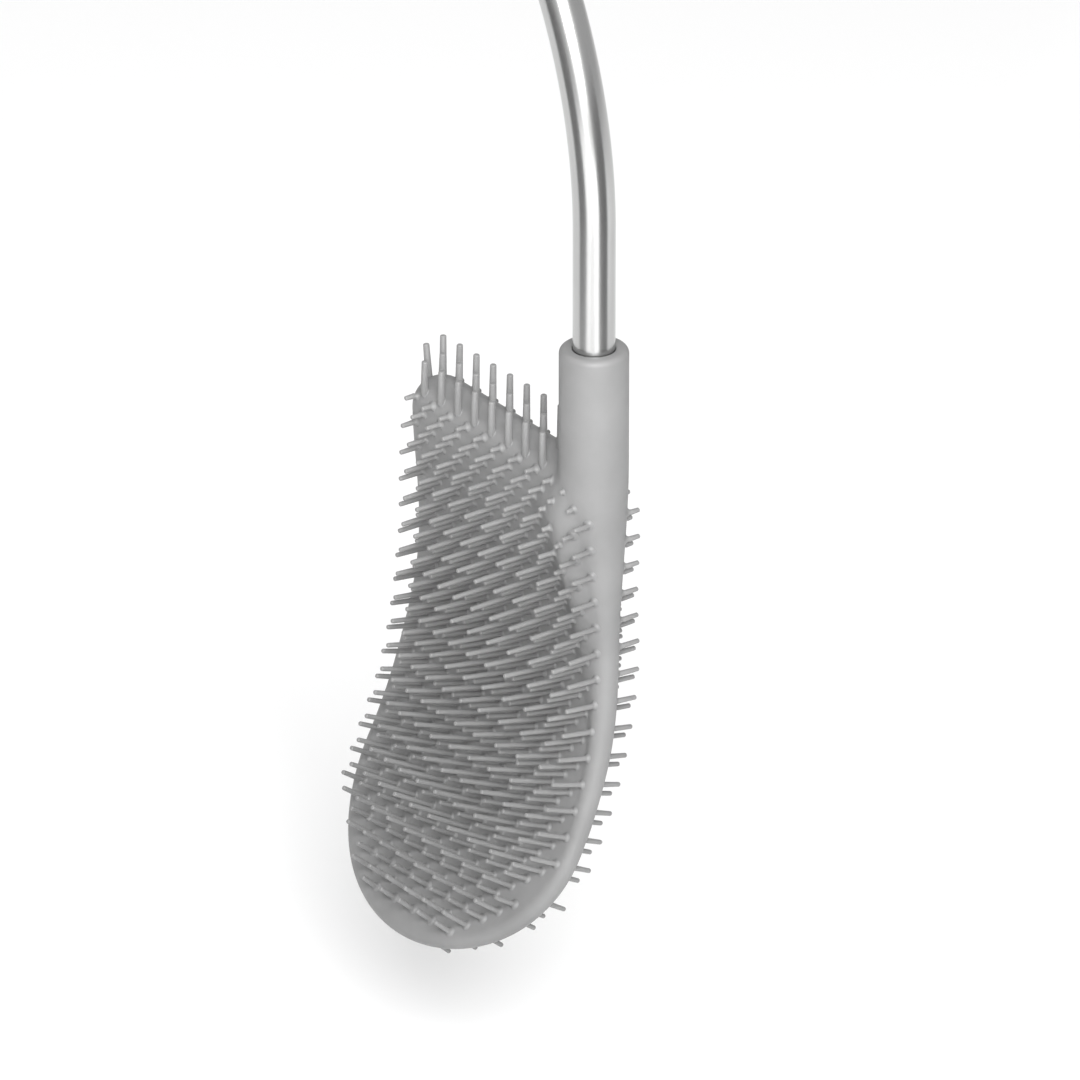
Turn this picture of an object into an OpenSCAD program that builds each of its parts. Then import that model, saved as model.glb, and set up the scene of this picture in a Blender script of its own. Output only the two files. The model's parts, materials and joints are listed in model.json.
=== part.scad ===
// Toilet brush: bent steel handle pushed into a one-sided flexible paddle head.
// Frame: +Z up, +X across the paddle from its free edge to its spine, -Y the front face.
// The origin is on the handle's axis, halfway along its straight grip.

/* [Handle] */
// Outer diameter of the handle tube
tube_d = 10; // [9.6:0.1:10]
// Wall thickness of the handle tube
tube_wall = 1; // [0.8:0.1:1.4]
// Radius of both bends, at the tube's axis
bend_r = 117; // [90:1:150]
// Angle of each bend
bend_a = 29.3; // [20:0.1:35]
// Straight length between the head's mouth and the first bend
neck_len = 30; // [20:1:60]
// Straight length between the two bends
slant_len = 2; // [1:0.5:20]
// Straight length of the grip above the second bend
grip_len = 125; // [90:1:200]
// Height of the domed end above the tube
dome_h = 2; // [1:0.1:3]

/* [Socket] */
// Depth of tube inside the head
insert_len = 24; // [20:0.5:24]
// Outer diameter of the head's socket
socket_d = 16.4; // [16.2:0.1:17]
// Rounding of the socket's mouth
mouth_round = 1.4; // [0.8:0.1:1.5]
// Radial play between the tube and the socket's bore
play = 0.05; // [0.03:0.01:0.08]
// Side of the square key under the plug
key_w = 5; // [4:0.1:5]

/* [Paddle] */
// Distance from the mouth down to the paddle's top edge
ledge = 31; // [28:0.5:34]
// Reach of the paddle's free edge from the socket's axis
free_w = 68.1; // [60:0.1:75]
// Reach of the paddle behind the socket's axis
spine_w = 7.8; // [7.6:0.1:8]
// Length of the paddle along its surface
paddle_len = 134.8; // [120:0.1:150]
// Half of the paddle's thickness under its top edge
thick_top = 6.1; // [4:0.1:6.4]
// Half of the paddle's thickness at its tip
thick_tip = 2.5; // [2.2:0.1:3]
// Length along the paddle at which it starts to curl forward
curl_start = 44.4; // [35:0.1:60]
// Radius of the forward curl
curl_r = 114; // [95:1:160]
// Slant of the curl's axis in the paddle's plane
curl_a = 5.2; // [0:0.1:8]

/* [Bristles] */
// Spacing of each of the two interleaved grids
pitch = 6.87; // [6.5:0.01:8]
// Diameter of a bristle at its root
root_d = 1.3; // [1.1:0.05:1.5]
// Diameter of a bristle at its tip
tip_d = 1.05; // [0.8:0.05:1.1]
// Length of the bristles on the short grid
short_len = 9.3; // [7:0.1:11]
// Longest bristle on the long grid, at the paddle's middle
long_len = 15.8; // [12:0.1:17]
// Length of the back's bristles as a share of the front's
back_share = 0.72; // [0.5:0.01:1]
// Diameter of a bristle on the top edge at its tip
rim_tip_d = 1.5; // [1:0.05:1.6]

/* [Hidden] */
$fn = 64;
eps = 0.02;

// Handle, worked out from the driving sizes
tube_r = tube_d / 2;
bore_r = tube_r - tube_wall;
bend_rise = bend_r * sin(bend_a);
bend_shift = bend_r * (1 - cos(bend_a));
slant = slant_len * [-sin(bend_a), 0, cos(bend_a)];
bend_1 = [0, 0, neck_len];
bend_1_end = bend_1 + [-bend_shift, 0, bend_rise];
bend_2 = bend_1_end + slant;
bend_2_end = bend_2 + [-bend_shift, 0, bend_rise];
mouth = -bend_2_end - [0, 0, grip_len / 2];
seam = 0.05;
seam_step = 0.03;

// Plug under the tube: its spigot, collar, ring grooves and key
spigot_len = 14;
collar_h = 2;
stub_len = 10;
key_len = 5;
ring_cord = 1.6;
ring_gap = 4.4;
groove_w = 1.8;
groove_r = tube_r + play - eps - ring_cord;
ring_r = groove_r + ring_cord / 2 - 0.01;
stub_r = tube_r - eps;
pin_r = 1;
pin_z = -insert_len + 6;
socket_floor = -insert_len - collar_h - stub_len;

// Core and skin of the head
socket_r = socket_d / 2;
core_r = socket_r - 1.6;
core_top = -2.2;
core_inset = 1.6;
bond = 0.03;
web_h = 0.8;
web_margin = 11;
window_r = 3.2;
tip_w = (free_w - spine_w) / 2;
tip_r = (free_w + spine_w) / 2;
tip_s = paddle_len - tip_r;
corner_r = 9;
spine_end = 50;
ring_sides = 24;

// Smooth step from 0 at a to 1 at b
function ease(x, a, b) = let (u = min(1, max(0, (x - a) / (b - a)))) u * u * (3 - 2 * u);

// Half of the paddle's thickness at length s below its top edge
function half_t(s) = thick_top + (thick_tip - thick_top) * ease(s, 6, 40);

// Radius and centre of the tapering spine at length s
function spine_r(s) = socket_r + (thick_tip + 0.1 - socket_r) * ease(s, -1, spine_end);
function spine_c(s) = spine_r(s) - socket_r + (socket_r - spine_w) * ease(s, -1, spine_end);

// Curl of the paddle: a flat point at width w (towards -X) and length s, at height n over the
// middle surface (negative towards the front), goes to its place below the mouth.
function curl_u(w, s) = w * sin(curl_a) + s * cos(curl_a) - curl_start;
function curl_t(w, s) = max(0, curl_u(w, s)) / curl_r * 180 / PI;
function curl_slip(w, s) = curl_r * sin(curl_t(w, s)) - max(0, curl_u(w, s));
function back_normal(w, s) = let (t = curl_t(w, s))
    [-sin(t) * sin(curl_a), cos(t), -sin(t) * cos(curl_a)];
function curl(w, s, n) = let (t = curl_t(w, s), slip = curl_slip(w, s))
    [-w - slip * sin(curl_a), -curl_r * (1 - cos(t)), -ledge - s - slip * cos(curl_a)]
    + n * back_normal(w, s);

// Outline of the paddle, drawn in by d: its free side and its spine side at length s
function tip_half(s, d) = sqrt(max(0.01, pow(tip_r - d, 2) - pow(max(0, s - tip_s), 2)));
function corner_half(s, d) = sqrt(max(0.01, pow(corner_r - d, 2) - pow(max(0, corner_r - s), 2)));
function free_side(s, d) = s > corner_r ? tip_w + tip_half(s, d) * widening(s)
    : free_w - corner_r + corner_half(s, d);
function spine_side(s, d) = tip_w - tip_half(s, d) * widening(s);
function widening(s) = 1 + 0.036 * ease(s, 45, 75);

// Angle through which the rounded rim reaches at length s: 90 except near the two ends
function rim_reach(s, h, end_s) = acos(1 - min(1, min(s, end_s - s) / h));

// One closed section of a rounded paddle, as points
function paddle_ring(s, steps) = let (h = half_t(s), reach = rim_reach(s, h, paddle_len)) [
    for (i = [-steps : steps]) let (a = i / steps * reach)
        curl(spine_side(s, h * (1 - cos(a))), s, h * sin(a)),
    for (i = [steps : -1 : -steps]) let (a = i / steps * reach)
        curl(free_side(s, h * (1 - cos(a))), s, h * sin(a))
];

// One section of the spine, drawn in by d
function spine_ring(s, d) = [
    for (i = [0 : ring_sides - 1]) let (a = 360 * i / ring_sides, r = spine_r(s) - d)
        curl(spine_c(s) - r * cos(a), s, r * sin(a))];

// One section of the core's flat web, h thick to each side
function web_ring(s, h, grow) =
    let (a = spine_c(s) + (spine_side(s, web_margin - grow) - spine_c(s)) * ease(s, 38, 60),
         b = free_side(s, web_margin - grow))
    [curl(a, s, -h), curl(a, s, h), curl(b, s, h), curl(b, s, -h)];

// Closed solid through rings of equal length
module loft(rings) {
    n = len(rings[0]);
    m = len(rings);
    points = [for (ring = rings) for (p = ring) p];
    sides = [for (j = [0 : m - 2]) for (i = [0 : n - 1]) let (k = (i + 1) % n)
        each [[j * n + i, j * n + k, (j + 1) * n + k], [j * n + i, (j + 1) * n + k, (j + 1) * n + i]]];
    ends = [for (base = [0, (m - 1) * n]) for (i = [0 : n / 2 - 2])
        let (a = base + i, b = base + i + 1, c = base + n - 2 - i, d = base + n - 1 - i)
        each (base == 0 ? [[a, d, b], [b, d, c]] : [[a, b, d], [b, c, d]])];
    polyhedron(points, [for (f = concat(sides, ends)) if (f[0] != f[2]) f]);
}

module at_mouth() { translate(mouth) children(); }

// One straight stretch of the handle's axis, starting just inside the stretch before it
module straight(l, r, before) { translate([0, 0, -before]) cylinder(h = l + before + seam, r = r); }

// One bend in the X-Z plane, a hair thinner than the straights so that no two walls are tangent
module bend(r, start_a) {
    rotate([90, 0, 0]) rotate([0, 0, start_a])
        rotate_extrude(angle = bend_a) translate([bend_r, 0]) circle(r - seam_step);
}

// Solid rod along the handle's axis, from the mouth's frame, running past both ends by past
module rod_path(r, past) {
    translate([0, 0, -insert_len]) straight(insert_len + neck_len, r, past);
    translate(bend_1 - [bend_r, 0, 0]) bend(r, 0);
    translate(bend_1_end) rotate([0, -bend_a, 0]) straight(slant_len, r, seam);
    translate(bend_2_end + [bend_r, 0, 0]) bend(r, 180);
    translate(bend_2_end) straight(grip_len - seam + past, r, seam);
}

module handle_tube() {
    color("silver") at_mouth() difference() {
        rod_path(tube_r, 0);
        rod_path(bore_r, 1);
        pin_shape(pin_r + eps / 2, 2 * tube_d);
    }
}

module pin_shape(r, l) { translate([0, l / 2, pin_z]) rotate([90, 0, 0]) cylinder(h = l, r = r); }

module top_plug() {
    color("gainsboro") translate([0, 0, grip_len / 2]) {
        translate([0, 0, -spigot_len]) cylinder(h = spigot_len + eps, r = bore_r - eps);
        intersection() {
            cylinder(h = dome_h, r = tube_r);
            translate([0, 0, dome_h - dome_ball()]) sphere(dome_ball());
        }
    }
}
function dome_ball() = (tube_r * tube_r + dome_h * dome_h) / (2 * dome_h);

module end_plug() {
    color("dimgray") at_mouth() difference() {
        union() {
            translate([0, 0, -insert_len]) cylinder(h = spigot_len, r = bore_r - eps);
            translate([0, 0, socket_floor]) cylinder(h = stub_len + collar_h, r = stub_r);
            translate([-key_w / 2, -key_w / 2, socket_floor - key_len]) cube([key_w, key_w, key_len + 1]);
        }
        for (k = [0, 1]) translate([0, 0, ring_z(k) - groove_w / 2]) difference() {
            cylinder(h = groove_w, r = tube_r + 1);
            translate([0, 0, -1]) cylinder(h = groove_w + 2, r = groove_r);
        }
        pin_shape(pin_r + eps / 2, 2 * tube_d);
    }
}
function ring_z(k) = socket_floor + 3 + k * ring_gap;

module plug_pin() {
    color("silver") at_mouth() pin_shape(pin_r, 2 * sqrt(tube_r * tube_r - pin_r * pin_r) - 0.1);
}

module o_ring(k) {
    color("black") at_mouth() translate([0, 0, ring_z(k)])
        rotate_extrude() translate([ring_r, 0]) circle(ring_cord / 2);
}
module upper_o_ring() { o_ring(1); }
module lower_o_ring() { o_ring(0); }

// Rigid skeleton, grown by g so that the same shape cuts its own room in the skin
module core_shape(g) {
    translate([0, 0, socket_floor - 2]) cylinder(h = core_top + g - socket_floor + 2, r = core_r + g);
    loft([for (s = [3 : 5.2 : 47]) spine_ring(s, core_inset - g)]);
    difference() {
        loft([for (s = [web_top() - g : 5.6 : 115]) web_ring(s, web_h + g, g)]);
        for (w = [20 : 14 : 48], s = [16, 32]) translate([-w, 0, -ledge - s])
            rotate([90, 0, 0]) cylinder(h = 20, r = window_r - g, center = true);
    }
}
function web_top() = 8;

module head_core() {
    color("whitesmoke") at_mouth() difference() {
        core_shape(0);
        translate([0, 0, socket_floor - eps]) cylinder(h = 60, r = tube_r + play);
        translate([-key_w / 2 - play, -key_w / 2 - play, socket_floor - key_len - play])
            cube([key_w + 2 * play, key_w + 2 * play, key_len + 2]);
    }
}

// Outer profile of the socket, with a rounded mouth
module socket_profile() {
    translate([0, -ledge - 2]) square([socket_r, ledge + 2 - mouth_round]);
    translate([0, -mouth_round - 1]) square([socket_r - mouth_round, mouth_round + 1]);
    translate([socket_r - mouth_round, -mouth_round]) circle(mouth_round);
}

module head_skin() {
    color("darkgray") at_mouth() difference() {
        union() {
            rotate_extrude() socket_profile();
            loft([for (s = [-3 : 3.2 : spine_end + 8]) spine_ring(s, s < 2 ? 0.15 : 0)]);
            loft([for (s = paddle_rows()) paddle_ring(s, 4)]);
        }
        core_shape(bond);
        translate([0, 0, core_top - 1]) cylinder(h = 8, r = tube_r + 2 * play);
    }
}

// Lengths at which the paddle's sections are taken: close together round its two ends
function paddle_rows() = concat(
    [for (a = [15 : 15 : 75]) thick_top * (1 - cos(a))],
    [for (s = [thick_top : 4.6 : tip_s]) s],
    [for (a = [7 : 7 : 77]) tip_s + (tip_r - thick_tip) * sin(a)],
    [for (a = [10 : 16 : 74]) paddle_len - thick_tip * (1 - sin(a))]);

// Height of the surface over the middle of the paddle or the spine
function cover(w, s) = max(half_t(s), sqrt(max(0, pow(spine_r(s), 2) - pow(w - spine_c(s), 2))));

// Full length of a bristle on the short grid and on the long one
function short_full(w) = short_len;
function long_full(w) = max(short_len, long_len - 0.0046 * pow(w - 28.5, 2));

// Share of its full length that a bristle has at length s, from a share at the top to less at the tip
function grown(s, start, droop) = (1 - droop * ease(s, 92, 126))
    * (start + (1 - start) * sin(90 * min(1, max(-0.1, (s - 7.9) / 47))));

// Height of a bristle's tip over the middle surface
function tip_n(w, s, half, scale, droop) = half_t(s)
    + scale * (half == 0 ? short_full(w) * grown(s, 0.38, droop) : long_full(w) * grown(s, 0.31, droop));

// Grid of bristles [w, s, length] inside the paddle's rim, drawn in by bare at the tip
function roots(half, margin, scale, droop, bare) = [
    for (j = [0 : 19]) for (i = [0 : 10])
        let (w = -5.8 + pitch * (i + half), s = 4.5 + pitch * (j + half),
             l = tip_n(w, s, half, scale, droop) - cover(w, s), m = margin + bare * ease(s, 95, 120))
        if (l > 0.8 && s + w > 5.2 && w > spine_side(s, m) && w < free_side(s, m) - 1.4 * ease(s, 45, 75)
            && s < paddle_len - m)
            [w, s, l]];

// Bristle of length l on the surface, on the side of the paddle given by dir
module bristle(w, s, l, dir) {
    n = back_normal(w, s) * dir;
    sunk = 0.5;
    translate(curl(w, s, dir * (cover(w, s) - sunk))) rotate([0, acos(n[2]), atan2(n[1], n[0])])
        cylinder(h = l + sunk, d1 = root_d, d2 = tip_d, $fn = 16);
}

module face_bristles(dir) {
    front = dir < 0;
    color("darkgray") at_mouth() for (half = [0, 0.5])
        for (b = front ? roots(half, 1.8 + 1.6 * half, 1, 0.34, 1.4)
                       : roots(half, 1.8 + 1.6 * half, back_share, 0.08, 0))
            bristle(b[0], b[1], b[2], dir);
}
module front_bristles() { face_bristles(-1); }
module back_bristles() { face_bristles(1); }

// Three rows that stand on the top edge: [offset across the edge, tip's depth below the mouth]
rim_rows = [[-5.4, 25.4], [-0.2, 24.8], [4.8, 23.9]];
rim_pitch = 6.7;
rim_root_d = 1.8;

// Depth of the top edge below the mouth at width w and at an offset across it, round the free corner too
function rim_depth(w, across) = let (over = w - free_w + corner_r)
    ledge + thick_top - sqrt(thick_top * thick_top - across * across)
    + (over > 0 ? corner_r - sqrt(corner_r * corner_r - over * over) : 0);

module rim_bristles() {
    color("darkgray") at_mouth() for (row = rim_rows)
        for (w = [12.8 : rim_pitch : free_w - (row[0] < 0 ? 6 : 1)]) {
            root = rim_depth(w, row[0]) + 0.5;
            translate([-w, row[0], -root])
                cylinder(h = root - row[1], d1 = rim_root_d, d2 = rim_tip_d, $fn = 16);
        }
}

handle_tube();
top_plug();
end_plug();
plug_pin();
upper_o_ring();
lower_o_ring();
head_core();
head_skin();
front_bristles();
back_bristles();
rim_bristles();
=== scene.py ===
"""Looks of the toilet brush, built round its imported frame.

Lengths are in millimetres until a mesh is made. Stage, lights and camera are in metres.
"""
import itertools
import json
import math

import bpy
import numpy as np
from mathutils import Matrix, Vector


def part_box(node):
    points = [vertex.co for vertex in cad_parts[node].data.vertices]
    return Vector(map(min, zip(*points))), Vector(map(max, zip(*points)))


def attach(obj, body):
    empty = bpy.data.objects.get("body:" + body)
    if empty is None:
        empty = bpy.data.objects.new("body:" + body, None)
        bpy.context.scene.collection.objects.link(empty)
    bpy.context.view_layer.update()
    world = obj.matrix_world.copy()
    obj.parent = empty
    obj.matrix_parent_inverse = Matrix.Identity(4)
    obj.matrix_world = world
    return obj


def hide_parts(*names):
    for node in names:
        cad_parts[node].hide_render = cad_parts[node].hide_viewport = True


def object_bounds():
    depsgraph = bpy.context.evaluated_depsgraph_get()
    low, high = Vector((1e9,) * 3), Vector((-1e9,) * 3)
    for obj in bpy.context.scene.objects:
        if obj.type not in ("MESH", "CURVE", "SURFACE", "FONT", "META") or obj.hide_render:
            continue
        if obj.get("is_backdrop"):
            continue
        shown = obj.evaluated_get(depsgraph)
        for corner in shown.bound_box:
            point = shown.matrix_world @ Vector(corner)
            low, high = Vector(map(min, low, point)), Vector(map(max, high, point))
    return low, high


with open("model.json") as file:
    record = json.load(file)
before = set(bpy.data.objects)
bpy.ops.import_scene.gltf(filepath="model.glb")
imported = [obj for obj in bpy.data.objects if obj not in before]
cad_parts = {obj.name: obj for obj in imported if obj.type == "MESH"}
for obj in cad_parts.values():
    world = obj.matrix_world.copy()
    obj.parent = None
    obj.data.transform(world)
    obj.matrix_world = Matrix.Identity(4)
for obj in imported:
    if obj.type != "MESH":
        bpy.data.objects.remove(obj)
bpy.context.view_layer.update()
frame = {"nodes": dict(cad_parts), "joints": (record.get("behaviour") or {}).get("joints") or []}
random = np.random.default_rng(11)
MM = 0.001

# ---------------------------------------------------------------- sizes, as the CAD model has them

# Handle
TUBE_R = 5.0
BORE_R = 4.0
BEND_R = 117.0
BEND_A = math.radians(29.3)
NECK_LEN = 30.0
SLANT_LEN = 2.0
GRIP_LEN = 125.0
INSERT_LEN = 24.0
DOME_H = 2.0
SPIGOT_LEN = 14.0

# Socket and spine. The spine ends in a rounded rim, which thins out at RIM_END.
SOCKET_R = 8.2
MOUTH_ROUND = 1.45
SPINE_TOP = -1.0
SPINE_END = 50.0
RIM_R = 3.2
RIM_BEGIN = 55.0
RIM_END = 92.0

# Room for the handle and the core: the mouth's hole, the lip under it and the wider room below
MOUTH_R = 5.12
ROOM_R = 6.63
LIP = 2.2
ROOM_FLOOR = 38.0
HOLE_ROUND = 0.35

# Paddle
LEDGE = 31.0
FREE_W = 68.1
SPINE_W = 7.8
PADDLE_LEN = 134.8
THICK_TOP = 6.1
THICK_TIP = 2.5
CORNER_R = 9.0
CURL_START = 44.4
CURL_R = 114.0
CURL_A = math.radians(5.2)
TIP_W = (FREE_W - SPINE_W) / 2
TIP_R = (FREE_W + SPINE_W) / 2
TIP_S = PADDLE_LEN - TIP_R
WIDER = 0.036
WIDER_FROM, WIDER_TO = 45.0, 75.0

# Bristles on the faces: two grids, the second half a pitch off the first and with longer bristles
PITCH = 6.87
GRID_W, GRID_S = -5.8, 4.5
GRID_ROWS, GRID_COLUMNS = 20, 11
SHORT_LEN = 9.3
LONG_LEN = 15.8
LONG_FALL = 0.0046
LONG_W = 28.5
SHORT_START = 0.38
LONG_START = 0.31
BARE_RIM = 1.8
BARE_SIDE = 1.4
SHORTEST = 0.8
BACK_SHARE = 0.72
FRONT_DROOP, FRONT_BARE_TIP = 0.34, 1.4
BACK_DROOP, BACK_BARE_TIP = 0.08, 0.0
ROOT_R = 0.66
FACE_TIP_R = 0.57
FACE_FOOT = 1.1

# Bristles on the top edge: rows of (offset across the edge, depth of the tips, bare width at the free end)
RIM_ROWS = ((-5.4, 25.4, 6.0), (-0.2, 24.8, 1.0), (4.8, 23.9, 1.0))
RIM_FIRST = 12.8
RIM_PITCH = 6.7
RIM_ROOT_R = 0.9
RIM_TIP_R = 0.77
RIM_FOOT = 0.5

# Every bristle: how its foot spreads over the skin as (share of its spread, share of its height)
FOOT_CURVE = ((0.82, 0.01), (0.55, 0.09), (0.32, 0.26), (0.13, 0.56), (0.03, 0.86))
FOOT_SLANT = 0.8
TIP_ROUND = 0.3
SINK = 0.25
ABOVE_SKIN, BELOW_SKIN = 3.0, 5.0

# Where the socket's mouth is: over the pin that crosses the handle, level with the skin's top
pin_lo, pin_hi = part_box("plug_pin")
MOUTH = np.array([(pin_lo.x + pin_hi.x) / 2, (pin_lo.y + pin_hi.y) / 2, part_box("head_skin")[1].z]) / MM


# ---------------------------------------------------------------- shape of the head

def ease(x, a, b):
    """Smooth step from 0 at a to 1 at b."""
    u = np.clip((x - a) / (b - a), 0, 1)
    return u * u * (3 - 2 * u)


def half_thickness(s):
    return THICK_TOP + (THICK_TIP - THICK_TOP) * ease(s, 6, 40)


def spine_radius(s):
    """The spine thins quickly to a rounded rim, and the rim slowly to the paddle's own thickness."""
    rim = SOCKET_R + (RIM_R - SOCKET_R) * ease(s, SPINE_TOP, SPINE_END)
    return rim + (THICK_TIP - RIM_R) * ease(s, RIM_BEGIN, RIM_END)


def spine_centre(s):
    reach = SOCKET_R + (SPINE_W - SOCKET_R) * ease(s, SPINE_TOP, SPINE_END)
    return spine_radius(s) - reach - TIP_R * (widening(s) - 1)


def widening(s):
    """How much wider the paddle is than its top edge."""
    return 1 + WIDER * ease(s, WIDER_FROM, WIDER_TO)


def flatten(points):
    """Width w, length s and height n on the flat paddle, of points given from the mouth's centre.

    s is measured down from the top edge, and n from the middle surface, negative towards the front.
    """
    w, t, s = -points[..., 0], points[..., 1], -LEDGE - points[..., 2]
    u = w * math.sin(CURL_A) + s * math.cos(CURL_A)
    v = w * math.cos(CURL_A) - s * math.sin(CURL_A)
    along, off = u - CURL_START, t + CURL_R
    curled = along > 0
    u = np.where(curled, CURL_START + CURL_R * np.arctan2(np.where(curled, along, 0), off), u)
    n = np.where(curled, np.hypot(along, off) - CURL_R, t)
    return u * math.sin(CURL_A) + v * math.cos(CURL_A), u * math.cos(CURL_A) - v * math.sin(CURL_A), n


def curl(w, s, n):
    """The opposite of flatten: where a point of the flat paddle goes."""
    u = np.maximum(0, w * math.sin(CURL_A) + s * math.cos(CURL_A) - CURL_START)
    t = u / CURL_R
    slip = CURL_R * np.sin(t) - u
    across, down = slip * math.sin(CURL_A), slip * math.cos(CURL_A)
    middle = np.stack([-w - across, -CURL_R * (1 - np.cos(t)), -LEDGE - s - down], -1)
    return middle + np.asarray(n)[..., None] * back_normal(w, s)


def back_normal(w, s):
    t = np.maximum(0, w * math.sin(CURL_A) + s * math.cos(CURL_A) - CURL_START) / CURL_R
    return np.stack([-np.sin(t) * math.sin(CURL_A), np.cos(t), -np.sin(t) * math.cos(CURL_A)], -1)


def blend_in(a, b, k):
    """Union of two distance fields with a fillet of about k."""
    h = np.maximum(k - np.abs(a - b), 0)
    return np.minimum(a, b) - h * h / (4 * k)


def outline(w, s):
    """Distance to the paddle's outline, negative inside. At the top it ends inside the spine."""
    w = TIP_W + (w - TIP_W) / widening(s)
    spine_side = -SPINE_W + SPINE_W * (1 - ease(s, 18, 48)) - w
    out, up = w - (FREE_W - CORNER_R), CORNER_R - s
    corner = np.hypot(np.maximum(out, 0), np.maximum(up, 0)) - CORNER_R
    corner += np.minimum(np.maximum(out, up), 0)
    return np.where(s > TIP_S, np.hypot(w - TIP_W, s - TIP_S) - TIP_R, np.maximum(corner, spine_side))


def paddle_field(w, s, n):
    h = half_thickness(s)
    return np.hypot(np.maximum(outline(w, s) + h, 0), n) - h


def spine_field(w, s, n):
    past = np.maximum(s - RIM_END, 0)
    across = np.hypot(w - spine_centre(s), n)
    body = np.hypot(across, past) - spine_radius(s)
    rise = -LEDGE - s
    edge_in, edge_up = across - (SOCKET_R - MOUTH_ROUND), rise + MOUTH_ROUND
    capped = np.hypot(np.maximum(edge_in, 0), np.maximum(edge_up, 0)) - MOUTH_ROUND
    capped += np.minimum(np.maximum(edge_in, edge_up), 0)
    return np.where(s < -8, capped, body)


def socket_hole(w, s, n):
    """Distance to the room for the handle and the core, negative inside it."""
    across, rise = np.hypot(w, n), -LEDGE - s
    mouth = np.maximum(across - MOUTH_R, -rise - LIP - 1)
    room = np.maximum(across - ROOM_R, np.maximum(rise + LIP, -ROOM_FLOOR - rise))
    return np.minimum(mouth, room)


def solid_field(w, s, n):
    """Distance to the head without its hole: paddle and spine, with a fillet that fades downwards."""
    reach = 3.0 + 12.0 * ease(s, 2, 14) - 15.0 * ease(s, 24, 74)
    k = 0.4 + reach * ease(w, -8, 2)
    return blend_in(paddle_field(w, s, n), spine_field(w, s, n), k)


def head_field(w, s, n):
    """Distance to the head, its hole's edge rounded."""
    return -blend_in(-solid_field(w, s, n), socket_hole(w, s, n), HOLE_ROUND)


# ---------------------------------------------------------------- meshes

def make_object(name, points, faces, body, nodes, slot, material):
    """Mesh object from points in millimetres, riding on a body and standing for CAD nodes."""
    mesh = bpy.data.meshes.new(name)
    mesh.from_pydata((np.asarray(points) * MM).tolist(), [], [tuple(f) for f in faces])
    mesh.polygons.foreach_set("use_smooth", [True] * len(mesh.polygons))
    mesh.materials.append(material)
    mesh.validate()
    mesh.update()
    piece = bpy.data.objects.new(name, mesh)
    bpy.context.scene.collection.objects.link(piece)
    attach(piece, body)
    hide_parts(*nodes)


def surface_net(field, lines):
    """Closed quad mesh of the zero surface of a field sampled on a rectilinear grid."""
    inside = field < 0
    cells = np.zeros(tuple(k - 1 for k in field.shape), int)
    for shift in itertools.product((0, 1), repeat=3):
        cells += inside[tuple(slice(d, k - 1 + d) for d, k in zip(shift, field.shape))]
    active = (cells > 0) & (cells < 8)
    number = np.full(cells.shape, -1)
    number[active] = np.arange(active.sum())
    corner = np.argwhere(active)
    total, count = np.zeros(corner.shape), np.zeros(len(corner))
    for axis in range(3):
        for b, c in itertools.product((0, 1), repeat=2):
            lo = corner.copy()
            lo[:, (axis + 1) % 3] += b
            lo[:, (axis + 2) % 3] += c
            hi = lo.copy()
            hi[:, axis] += 1
            f_lo, f_hi = field[tuple(lo.T)], field[tuple(hi.T)]
            crossed = (f_lo < 0) != (f_hi < 0)
            share = np.where(crossed, f_lo / np.where(crossed, f_lo - f_hi, 1), 0)[:, None]
            p_lo = np.stack([lines[a][lo[:, a]] for a in range(3)], 1)
            p_hi = np.stack([lines[a][hi[:, a]] for a in range(3)], 1)
            total += np.where(crossed[:, None], p_lo + share * (p_hi - p_lo), 0)
            count += crossed
    quads = []
    for axis in range(3):
        one, two = (axis + 1) % 3, (axis + 2) % 3
        lo = [slice(1, -1)] * 3
        lo[axis] = slice(0, -1)
        hi = list(lo)
        hi[axis] = slice(1, None)
        begin, end = inside[tuple(lo)], inside[tuple(hi)]
        nodes = np.argwhere(begin != end)
        starts_inside = begin[tuple(nodes.T)]
        nodes = nodes + [0 if a == axis else 1 for a in range(3)]
        round_edge = []
        for back_one, back_two in ((1, 1), (0, 1), (0, 0), (1, 0)):
            cell = nodes.copy()
            cell[:, one] -= back_one
            cell[:, two] -= back_two
            round_edge.append(number[tuple(cell.T)])
        quad = np.stack(round_edge, 1)
        quads.append(np.where(starts_inside[:, None], quad, quad[:, ::-1]))
    return total / count[:, None], np.concatenate(quads)


def settle_on(points, field, rounds=4, step=0.02):
    """Moves points onto the zero surface of a field."""
    for _ in range(rounds):
        value = field(points)
        rises = [(field(points + step * e) - field(points - step * e)) / (2 * step) for e in np.eye(3)]
        slope = np.stack(rises, 1)
        move = value[:, None] * slope / np.maximum((slope ** 2).sum(1), 0.2)[:, None]
        points = points - np.clip(move, -0.4, 0.4)
    return points


def spaced(*stretches):
    """Grid lines from stretches of (from, to, step)."""
    parts = [np.arange(a, b - step / 2, step) for a, b, step in stretches]
    return np.append(np.concatenate(parts), stretches[-1][1])


def head_mesh():
    """The head's skin, on a grid that is finest at the mouth and the spine."""
    lines = (
        spaced((-70.4, -9.6, 0.8), (-9.6, 10.4, 0.5)),
        spaced((-46, 10, 0.5)),
        spaced((-160, -44, 0.8), (-44, -4, 0.6), (-4, 1.1, 0.3)),
    )
    grid = np.stack(np.meshgrid(*lines, indexing="ij"), -1)
    points, quads = surface_net(head_field(*flatten(grid)), lines)
    return settle_on(points, lambda p: head_field(*flatten(p))), quads


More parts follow.
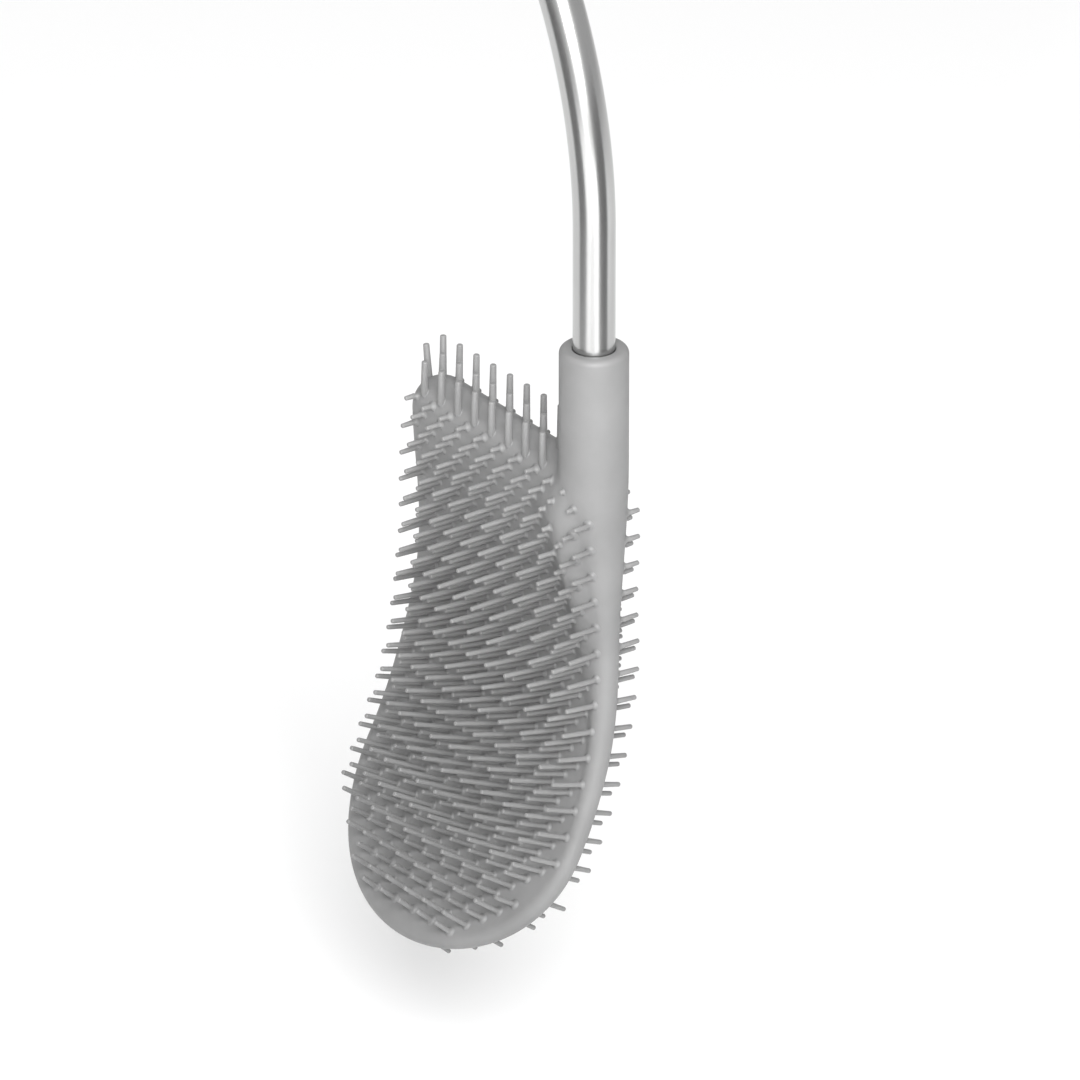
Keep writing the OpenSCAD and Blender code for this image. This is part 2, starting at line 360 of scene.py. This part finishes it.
def loft(rings, closed=False, capped=True):
    """Faces of a tube through rings of equal length, joined end to end if closed."""
    count, size = rings
    quads = []
    for j in range(count if closed else count - 1):
        a, b = j * size, (j + 1) % count * size
        quads += [(a + i, a + (i + 1) % size, b + (i + 1) % size, b + i) for i in range(size)]
    if capped and not closed:
        quads += [tuple(range(size - 1, -1, -1)), tuple(range((count - 1) * size, count * size))]
    return quads


def revolve(profile, sides=96):
    """Points and faces of a profile of (radius, height) turned about Z."""
    turn = np.arange(sides) * 2 * math.pi / sides
    rings = [np.stack([r * np.cos(turn), r * np.sin(turn), np.full(sides, z)], 1) for r, z in profile]
    return np.concatenate(rings), loft((len(profile), sides))


def arc(centre, radius, begin, end, steps):
    """Points of an arc in a profile, with angles in degrees from the outward radius."""
    angles = np.radians(np.linspace(begin, end, steps + 1))
    return [(centre[0] + radius * math.cos(a), centre[1] + radius * math.sin(a)) for a in angles]


def handle_axis():
    """Points on the handle's axis from its lower end, with the tangent's lean towards -X at each."""
    points, lean = [], []

    def straight(start, angle, length, steps):
        for k in range(steps):
            d = length * k / steps
            points.append((start[0] - d * math.sin(angle), start[1] + d * math.cos(angle)))
            lean.append(angle)
        return start[0] - length * math.sin(angle), start[1] + length * math.cos(angle)

    def bend(start, begin, end, steps):
        sign = 1 if end > begin else -1
        for k in range(steps):
            a = begin + (end - begin) * k / steps
            points.append((
                start[0] - sign * BEND_R * (math.cos(begin) - math.cos(a)),
                start[1] + sign * BEND_R * (math.sin(a) - math.sin(begin)),
            ))
            lean.append(a)
        return (
            start[0] - sign * BEND_R * (math.cos(begin) - math.cos(end)),
            start[1] + sign * BEND_R * (math.sin(end) - math.sin(begin)),
        )

    at = straight((0.0, -INSERT_LEN), 0.0, INSERT_LEN + NECK_LEN, 36)
    at = bend(at, 0.0, BEND_A, 48)
    at = straight(at, BEND_A, SLANT_LEN, 2)
    at = bend(at, BEND_A, 0.0, 48)
    at = straight(at, 0.0, GRIP_LEN, 80)
    points.append(at)
    lean.append(0.0)
    return np.array(points), np.array(lean)


def tube_mesh(sides=96):
    """The bent tube, its outer wall, its two ends with broken edges and its bore, as one closed mesh."""
    axis, lean = handle_axis()
    turn = np.arange(sides) * 2 * math.pi / sides

    def ring(k, r, back=0.0):
        out = np.array([math.cos(lean[k]), 0, math.sin(lean[k])])
        forward = np.array([-math.sin(lean[k]), 0, math.cos(lean[k])])
        middle = np.array([axis[k][0], 0, axis[k][1]]) + back * forward
        return middle + r * (np.cos(turn)[:, None] * out + np.sin(turn)[:, None] * np.array([0, 1, 0]))

    last = len(axis) - 1
    rings = [ring(0, TUBE_R - 0.25), ring(0, TUBE_R, 0.25)]
    rings += [ring(k, TUBE_R) for k in range(1, last)]
    rings += [ring(last, TUBE_R, -0.2), ring(last, TUBE_R - 0.06, -0.05), ring(last, TUBE_R - 0.2)]
    rings += [ring(k, BORE_R) for k in range(last, -1, -1)]
    return np.concatenate(rings) + MOUTH, loft((len(rings), sides), closed=True)


def cap_mesh():
    """The domed plug in the grip's end, with its spigot in the tube."""
    ball = (TUBE_R ** 2 + DOME_H ** 2) / (2 * DOME_H)
    foot = math.degrees(math.asin((ball - DOME_H) / ball))
    dome = arc((0, DOME_H - ball), ball, foot + 0.6, 89.9, 16)
    spigot = [(BORE_R - 0.02, -SPIGOT_LEN), (BORE_R - 0.02, 0.01), (TUBE_R - 0.25, 0.01)]
    points, faces = revolve(spigot + dome)
    axis, _ = handle_axis()
    return points + MOUTH + [axis[-1][0], 0, axis[-1][1]], faces


# ---------------------------------------------------------------- bristles

def meet(points, ways, above, below, rounds=22):
    """Where lines through some points meet the head's surface, from above the points to below them."""
    high, low = np.full(points.shape[:-1], above), np.full(points.shape[:-1], -below)
    for _ in range(rounds):
        middle = (high + low) / 2
        outside = solid_field(*flatten(points + middle[..., None] * ways)) > 0
        high, low = np.where(outside, middle, high), np.where(outside, low, middle)
    return points + low[..., None] * ways


def on_skin(points, along, slant):
    """Points of a foot on the skin: straight up where the skin rises, inwards where it falls."""
    straight = meet(points, along, ABOVE_SKIN, BELOW_SKIN)
    rises = ((straight - points) * along).sum(-1) > 0
    return np.where(rises[..., None], straight, meet(points, slant, ABOVE_SKIN, BELOW_SKIN))


def bristle_mesh(roots, ways, tips, root_r, tip_r, foot, sides=14):
    """One field's bristles in one mesh. Each has a foot spread over the skin, a stem and a round tip.

    Roots lie on the skin, ways are directions and tips lengths. Feet are smaller on short bristles.
    """
    ways = ways / np.linalg.norm(ways, axis=1)[:, None]
    side = np.cross(ways, [0.3, 0.1, 0.95])
    side /= np.linalg.norm(side, axis=1)[:, None]
    other = np.cross(ways, side)
    turn = np.arange(sides) * 2 * math.pi / sides
    out = np.cos(turn)[None, :, None] * side[:, None] + np.sin(turn)[None, :, None] * other[:, None]
    along = np.repeat(ways[:, None], sides, 1)
    slant = (along + FOOT_SLANT * out) / math.hypot(1, FOOT_SLANT)
    foot = np.minimum(foot * (1 - 0.035 * tips), 0.35 * tips)[:, None, None]
    rings = [on_skin(roots[:, None] + (root_r + foot) * out, along, slant) - SINK * slant]
    for outwards, lift in FOOT_CURVE:
        edge = on_skin(roots[:, None] + (root_r + outwards * foot) * out, along, slant)
        rings.append(edge + lift * foot * (slant if outwards > 0.5 else along))
    base = roots[:, None] + root_r * out
    rise = ((meet(base, along, ABOVE_SKIN, BELOW_SKIN) - base) * along).sum(-1)
    rings.append(base + (np.clip(rise, 0, 2)[..., None] + foot) * along)
    for turned in np.radians([0, 35, 65, 90]):
        radius = tip_r - TIP_ROUND + TIP_ROUND * math.cos(turned)
        height = (tips - TIP_ROUND + TIP_ROUND * math.sin(turned))[:, None, None]
        rings.append(roots[:, None] + height * along + radius * out)
    points = np.stack(rings, 1)
    faces = np.array(loft((len(rings), sides), capped=False))
    count = len(rings) * sides
    quads = (faces[None] + count * np.arange(len(roots))[:, None, None]).reshape(-1, 4).tolist()
    for k in range(len(roots)):
        quads.append(tuple(range(k * count + sides - 1, k * count - 1, -1)))
        quads.append(tuple(range((k + 1) * count - sides, (k + 1) * count)))
    return points.reshape(-1, 3) + MOUTH, quads


def grown(s, start, droop):
    """Share of its full length that a bristle has at length s: start at the top, less at the tip."""
    rise = np.sin(np.clip((s - 7.9) / 47, -0.1, 1) * math.pi / 2)
    return (start + (1 - start) * rise) * (1 - droop * ease(s, 92, 126))


def face_grid(droop, bare):
    """Places w, s of the two grids of a face, and tip heights measured from half the thickness.

    No bristle stands within a margin of the rim, which grows by bare round the tip.
    """
    places = []
    for half in (0, 0.5):
        for j, i in itertools.product(range(GRID_ROWS), range(GRID_COLUMNS)):
            w = GRID_W + PITCH * (i + half)
            s = GRID_S + PITCH * (j + half)
            margin = BARE_RIM + 1.6 * half + bare * float(ease(s, 95, 120))
            beside_spine = s < SPINE_END and w < 10
            reach = w + (BARE_SIDE * ease(s, WIDER_FROM, WIDER_TO) if w > TIP_W else 0)
            inside = beside_spine or float(outline(np.array(reach), np.array(s))) < -margin
            inside = inside and w > margin - SPINE_W - TIP_R * (widening(s) - 1)
            if inside and s + w > 5.2 and s < PADDLE_LEN - margin:
                longer = max(SHORT_LEN, LONG_LEN - LONG_FALL * (w - LONG_W) ** 2)
                longest = SHORT_LEN if half == 0 else longer
                start = SHORT_START if half == 0 else LONG_START
                places.append((w, s, longest * grown(s, start, droop)))
    return np.array(places)


def face_bristles(side):
    """The front's bristles (side -1) or the back's (side 1), with small random lengths and leans."""
    front = side < 0
    share = 1 if front else BACK_SHARE
    droop = FRONT_DROOP if front else BACK_DROOP
    w, s, heights = face_grid(droop, FRONT_BARE_TIP if front else BACK_BARE_TIP).T
    ways = side * back_normal(w, s)
    middle = curl(w, s, np.zeros_like(w))
    roots = meet(middle, ways, 12.0, 0.0)
    tips = half_thickness(s) + heights * share * random.normal(1, 0.008, len(w))
    tips = tips - ((roots - middle) * ways).sum(1)
    kept = tips > SHORTEST
    ways = ways + random.normal(0, 0.006, ways.shape)
    return bristle_mesh(roots[kept], ways[kept], tips[kept], ROOT_R, FACE_TIP_R, FACE_FOOT)


def rim_bristles():
    """Three rows on the top edge. The middle and back rows go on round the free corner.

    The last bristle of those two leans outwards, so that its root meets the rounded corner. The rest
    lean the other way by very little, more towards the free end.
    """
    starts, ways, tops = [], [], []
    for across, tip, free in RIM_ROWS:
        for w in np.arange(RIM_FIRST, FREE_W - free, RIM_PITCH):
            on_corner = w > FREE_W - 3
            lean = 0.04 * (w - RIM_FIRST) / 53
            starts.append((-w, across, -tip))
            ways.append((-0.12, 0.02 * across, 1) if on_corner else (lean, 0, 1))
            tops.append(-tip)
    starts, ways = np.array(starts), np.array(ways)
    ways /= np.linalg.norm(ways, axis=1)[:, None]
    roots = meet(starts, ways, 0.0, 16.0)
    tips = np.array(tops) - roots[:, 2]
    return bristle_mesh(roots, ways, tips, RIM_ROOT_R, RIM_TIP_R, RIM_FOOT, 18)


# ---------------------------------------------------------------- materials

def principled(name, colour, roughness, metallic=0.0, **more):
    """New material and its shader. More inputs are given by name, with _ for a space."""
    material = bpy.data.materials.new(name)
    material.use_nodes = True
    shader = material.node_tree.nodes["Principled BSDF"]
    shader.inputs["Base Color"].default_value = (*colour, 1)
    shader.inputs["Roughness"].default_value = roughness
    shader.inputs["Metallic"].default_value = metallic
    for socket, value in more.items():
        shader.inputs[socket.replace("_", " ")].default_value = value
    return material, shader


def add(material, kind, inputs=(), **settings):
    """New node with some settings, its inputs set by name to values or linked from other nodes' outputs."""
    node = material.node_tree.nodes.new(kind)
    for key, value in settings.items():
        setattr(node, key, value)
    for name, value in dict(inputs).items():
        if isinstance(value, bpy.types.NodeSocket):
            material.node_tree.links.new(value, node.inputs[name])
        else:
            node.inputs[name].default_value = value
    return node


def noise(material, scale, detail):
    """Value from 0 to 1 that varies over the piece, about scale times in a metre."""
    place = add(material, "ShaderNodeTexCoord").outputs["Object"]
    cloud = add(material, "ShaderNodeTexNoise", {"Vector": place, "Scale": scale, "Detail": detail})
    return cloud.outputs["Fac"]


def spread(material, value, low, high):
    """Value from 0 to 1, spread from low to high."""
    return add(material, "ShaderNodeMapRange", {
        "Value": value, "From Min": 0.25, "From Max": 0.75, "To Min": low, "To Max": high}).outputs[0]


def tint(material, value, dark, light):
    """Colour between two colours by a value from 0 to 1."""
    ramp = add(material, "ShaderNodeValToRGB", {"Fac": value})
    for element, position, colour in zip(ramp.color_ramp.elements, (0.3, 0.7), (dark, light)):
        element.position = position
        element.color = (*colour, 1)
    return ramp.outputs["Color"]


def wire(material, output, shader, socket):
    material.node_tree.links.new(output, shader.inputs[socket])


def bumped(material, shader, height, strength, distance):
    bump = add(material, "ShaderNodeBump", {"Height": height, "Strength": strength, "Distance": distance})
    wire(material, bump.outputs["Normal"], shader, "Normal")


def soft_rubber():
    """Light grey thermoplastic rubber, faintly mottled, with the fine grain of a spark-eroded mould."""
    material, shader = principled(
        "soft_rubber", (0.22,) * 3, 0.5, Subsurface_Weight=0.12, Subsurface_Scale=1.0, IOR=1.48)
    shader.inputs["Subsurface Radius"].default_value = (0.0025, 0.0024, 0.0022)
    mottled = tint(material, noise(material, 60, 4), (0.185,) * 3, (0.217,) * 3)
    wire(material, mottled, shader, "Base Color")
    wire(material, spread(material, noise(material, 220, 3), 0.42, 0.58), shader, "Roughness")
    bumped(material, shader, noise(material, 5200, 2), 0.25, 0.00003)
    return material


def satin_steel():
    """Satin stainless steel, faintly clouded."""
    material, shader = principled("satin_steel", (0.51, 0.51, 0.508), 0.245, 1.0)
    cloud = noise(material, 30, 3)
    wire(material, tint(material, cloud, (0.49, 0.492, 0.49), (0.53, 0.53, 0.527)), shader, "Base Color")
    return material


def ground_steel():
    material, shader = principled("ground_steel", (0.6, 0.6, 0.6), 0.3, 1.0)
    wire(material, spread(material, noise(material, 900, 4), 0.22, 0.4), shader, "Roughness")
    return material


def dark_plastic():
    material, shader = principled("dark_plastic", (0.075, 0.08, 0.083), 0.45)
    cloud = noise(material, 150, 3)
    wire(material, tint(material, cloud, (0.065, 0.07, 0.072), (0.085, 0.09, 0.093)), shader, "Base Color")
    bumped(material, shader, noise(material, 4000, 2), 0.3, 0.00003)
    return material


def white_plastic():
    material, shader = principled("white_plastic", (0.69, 0.69, 0.67), 0.4)
    cloud = noise(material, 120, 3)
    wire(material, tint(material, cloud, (0.66, 0.66, 0.64), (0.71, 0.71, 0.69)), shader, "Base Color")
    bumped(material, shader, noise(material, 3500, 2), 0.25, 0.00003)
    return material


def black_rubber():
    material, shader = principled("black_rubber", (0.012, 0.012, 0.012), 0.55)
    wire(material, spread(material, noise(material, 700, 3), 0.45, 0.65), shader, "Roughness")
    return material


# ---------------------------------------------------------------- pieces

rubber = soft_rubber()
steel = satin_steel()

skin_points, skin_quads = head_mesh()
make_object("head_moulding", skin_points + MOUTH, skin_quads, "head", ["head_skin"], "head_rubber", rubber)
make_object("bristles_front", *face_bristles(-1), "head", ["front_bristles"], "head_rubber", rubber)
make_object("bristles_back", *face_bristles(1), "head", ["back_bristles"], "head_rubber", rubber)
make_object("bristles_rim", *rim_bristles(), "head", ["rim_bristles"], "head_rubber", rubber)
make_object("tube", *tube_mesh(), "handle", ["handle_tube"], "tube_steel", steel)
make_object("grip_cap", *cap_mesh(), "handle", ["top_plug"], "tube_steel", steel)

seal = black_rubber()
carried_over = {
    "head_core": white_plastic(),
    "end_plug": dark_plastic(),
    "plug_pin": ground_steel(),
    "upper_o_ring": seal,
    "lower_o_ring": seal,
}
for node, material in carried_over.items():
    frame["nodes"][node].data.materials.clear()
    frame["nodes"][node].data.materials.append(material)


# ---------------------------------------------------------------- stage, light and camera

def looking(azimuth, elevation):
    """Unit vector from the object towards a viewer at that azimuth and elevation, in degrees."""
    a, e = math.radians(azimuth), math.radians(elevation)
    return np.array([math.sin(a) * math.cos(e), -math.cos(a) * math.cos(e), math.sin(e)])


# Camera: where it stands, and where it aims from the mouth
VIEW_AZ = 53.7
VIEW_EL = 26.7
FIELD = 0.2506
AIM_RIGHT = -12.53 * MM
AIM_UP = -44.7 * MM
DISTANCE = 3.0
SENSOR = 36

# Floor: its shade, its half width and its gap under the head when the head is pulled off
FLOOR = 0.93
FLOOR_HALF = 40.0
FLOOR_GAP = 0.002

# Cards that stand on the floor unseen and give the steel its bands: name, angles from the view, material
CARD_DISTANCE = 0.42
CARD_HEIGHT = 0.30
CARDS = (("left", -86, -40, "grey"), ("right", 28, 78, "grey"), ("front", -17, 8, "glow"))
GREY = 0.26
GLOW = 1.3

# Light
WORLD = 0.58
LIGHT_DISTANCE = 1.6
KEY_POWER = 49
TOP_POWER = 6


def make_camera():
    """The camera, and the point it aims at."""
    back = looking(VIEW_AZ, VIEW_EL)
    right = np.array([math.cos(math.radians(VIEW_AZ)), math.sin(math.radians(VIEW_AZ)), 0])
    up = np.cross(back, right)
    aim = MOUTH * MM + AIM_RIGHT * right + AIM_UP * up
    data = bpy.data.cameras.new("camera")
    data.sensor_width = SENSOR
    data.lens = SENSOR * DISTANCE / FIELD
    camera = bpy.data.objects.new("camera", data)
    camera.location = aim + DISTANCE * back
    camera.rotation_mode = "QUATERNION"
    camera.rotation_quaternion = Vector(-back).to_track_quat("-Z", "Y")
    bpy.context.scene.collection.objects.link(camera)
    bpy.context.scene.camera = camera
    return aim


def make_light(name, aim, azimuth, elevation, size, power):
    """Square area light that faces the point aimed at."""
    data = bpy.data.lights.new(name, "AREA")
    data.shape = "RECTANGLE"
    data.size = size
    data.size_y = size
    data.energy = power
    light = bpy.data.objects.new(name, data)
    away = looking(azimuth, elevation)
    light.location = aim + LIGHT_DISTANCE * away
    light.rotation_mode = "QUATERNION"
    light.rotation_quaternion = Vector(-away).to_track_quat("-Z", "Y")
    bpy.context.scene.collection.objects.link(light)


def make_panel(name, corners, material, hidden=False):
    mesh = bpy.data.meshes.new(name)
    mesh.from_pydata([tuple(c) for c in corners], [], [(0, 1, 2, 3)])
    mesh.materials.append(material)
    panel = bpy.data.objects.new(name, mesh)
    panel.visible_camera = not hidden
    bpy.context.scene.collection.objects.link(panel)
    panel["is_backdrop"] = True


def make_stage(aim):
    """Pale floor under the lowest pose, and the cards."""
    slide = frame["joints"][0]["range_m"][1]
    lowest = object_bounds()[0].z
    floor_z = lowest - slide - FLOOR_GAP
    pale, shader = principled("pale_floor", (FLOOR, FLOOR, FLOOR), 0.8)
    cloud = noise(pale, 3, 2)
    wire(pale, tint(pale, cloud, (FLOOR - 0.005,) * 3, (FLOOR + 0.005,) * 3), shader, "Base Color")
    square = ((-1, -1), (1, -1), (1, 1), (-1, 1))
    make_panel("floor", [(x * FLOOR_HALF, y * FLOOR_HALF, floor_z) for x, y in square], pale)
    grey, _ = principled("flag_grey", (GREY,) * 3, 0.9)
    glow, glow_shader = principled("card_white", (0.9, 0.9, 0.9), 0.9, Emission_Strength=GLOW)
    glow_shader.inputs["Emission Color"].default_value = (1, 1, 1, 1)
    looks = {"grey": grey, "glow": glow}
    base = np.array([aim[0], aim[1], floor_z + 0.001])
    top = np.array([0, 0, CARD_HEIGHT])
    for side, begin, end, look in CARDS:
        near = base + looking(VIEW_AZ + begin, 0) * CARD_DISTANCE
        far = base + looking(VIEW_AZ + end, 0) * CARD_DISTANCE
        make_panel("flag_" + side, [near, far, far + top, near + top], looks[look], hidden=True)


def make_world():
    world = bpy.data.worlds.new("studio")
    world.use_nodes = True
    background = world.node_tree.nodes["Background"]
    background.inputs["Color"].default_value = (1.0, 1.0, 1.0, 1)
    background.inputs["Strength"].default_value = WORLD
    bpy.context.scene.world = world


aim = make_camera()
make_stage(aim)
make_world()
make_light("key", aim, VIEW_AZ + 5, 30, 0.9, KEY_POWER)
make_light("top", aim, VIEW_AZ - 60, 80, 1.4, TOP_POWER)
bpy.context.scene.view_settings.view_transform = "Standard"
